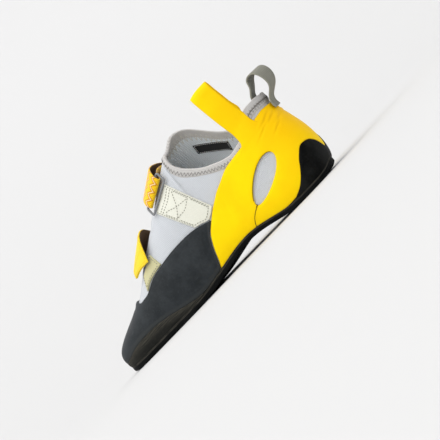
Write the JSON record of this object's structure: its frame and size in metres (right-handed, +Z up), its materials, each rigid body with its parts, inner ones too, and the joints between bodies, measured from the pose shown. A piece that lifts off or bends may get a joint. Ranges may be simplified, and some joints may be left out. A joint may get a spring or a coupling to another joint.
{
  "type": "climbing shoe",
  "caption": "Slip-on climbing shoe with two straps, a rubber toe patch and heel cup, a thin arched sole and pull loops, standing empty.",
  "frame": {"origin": "on the floor under the middle of the shoe's box", "axes": "+Z up, toe toward -Y, heel toward +Y, the shoe's medial side toward +X"},
  "size_m": [0.0988, 0.2714, 0.127],
  "materials": {
    "knit_grey_blue": "fine knit bootie, matt",
    "binding_grey": "zigzag-stitched elastic binding",
    "black_rubber": "satin, a little dusty",
    "charcoal_rubber": "matt, buffed along its lower edge",
    "yellow_rubber": "smooth, satin",
    "cream_suede": "suede",
    "olive_suede": "suede",
    "yellow_webbing": "woven strap",
    "grey_webbing": "ribbed woven webbing",
    "grey_plastic": "matt moulded",
    "insole_board": "fibre board, matt"
  },
  "bodies": {
    "root": {"upper": "knit_grey_blue", "collar_band": "binding_grey", "outsole": "black_rubber", "insole": "insole_board", "toe_rand": "black_rubber", "toe_patch": "charcoal_rubber", "tension_rand": "yellow_rubber", "heel_cup": "black_rubber", "anchor_rear": "cream_suede", "anchor_front": "olive_suede", "strap_rear": "yellow_webbing", "strap_front": "yellow_webbing", "strap_ring": "grey_plastic", "side_tab": "yellow_rubber", "heel_loop": "grey_webbing"}
  },
  "joints": []
}
